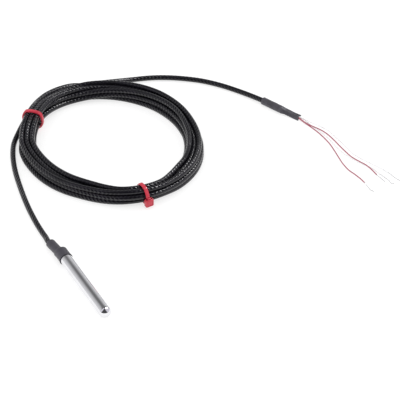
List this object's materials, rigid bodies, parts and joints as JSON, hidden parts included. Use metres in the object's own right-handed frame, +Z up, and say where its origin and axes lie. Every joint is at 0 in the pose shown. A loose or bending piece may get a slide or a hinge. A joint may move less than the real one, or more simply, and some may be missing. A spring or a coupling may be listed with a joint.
{
  "type": "rtd temperature probe",
  "caption": "Resistance temperature probe: a domed stainless sheath in a heat-shrink sleeve, a thin screened lead in a tied coil, and a far end with stripped wires.",
  "frame": {"origin": "centre of the bottom of the probe head's box, on the surface that everything lies on; the head is the sheath with its sleeve", "axes": "+Y along the head, from the closed tip towards the cable; +Z up; the coil and the wires lie towards +X and +Y"},
  "size_m": [0.1794, 0.1715, 0.0119],
  "materials": {
    "stainless_steel": "polished along the tube",
    "sleeve_grey": "satin heat-shrink tube",
    "tail_sleeve_grey": "satin heat-shrink tube",
    "jacket_black": "glossy thin jacket that shows the braid under it",
    "tie_red": "moulded nylon",
    "red_insulation": "smooth extruded insulation",
    "white_insulation": "smooth extruded insulation",
    "tinned_copper": "tinned copper strands",
    "screen_braid": "tinned copper braid",
    "alumina": "fired alumina ceramic",
    "glaze": "fused glass drop",
    "element_wire": "platinum-clad nickel wire",
    "cement": "cast ceramic cement",
    "crimp_copper": "tinned copper crimp",
    "clear_tube": "clear shrink tube",
    "epoxy": "cast resin"
  },
  "bodies": {
    "root": {"sheath": "stainless_steel", "cement_bed": "cement", "element_chip": "alumina", "element_glaze": "glaze", "element_wire_1": "element_wire", "element_wire_2": "element_wire", "crimp_1": "crimp_copper", "crimp_2": "crimp_copper", "crimp_tube_1": "clear_tube", "crimp_tube_2": "clear_tube", "inner_wire_red_1": "red_insulation", "inner_wire_red_2": "red_insulation", "inner_wire_white_1": "white_insulation", "inner_wire_white_2": "white_insulation", "cable_screen_end": "screen_braid", "cable_jacket_end": "jacket_black", "epoxy_seal": "epoxy", "probe_sleeve": "sleeve_grey", "cable_probe_run": "jacket_black", "cable_coil": "jacket_black", "cable_tail_run": "jacket_black", "tie_1": "tie_red", "tie_2": "tie_red", "tail_sleeve": "tail_sleeve_grey", "lead_red_1": "red_insulation", "lead_red_2": "red_insulation", "lead_white_1": "white_insulation", "lead_white_2": "white_insulation", "bare_end_red_1": "tinned_copper", "bare_end_red_2": "tinned_copper", "bare_end_white_1": "tinned_copper", "bare_end_white_2": "tinned_copper"}
  },
  "joints": []
}
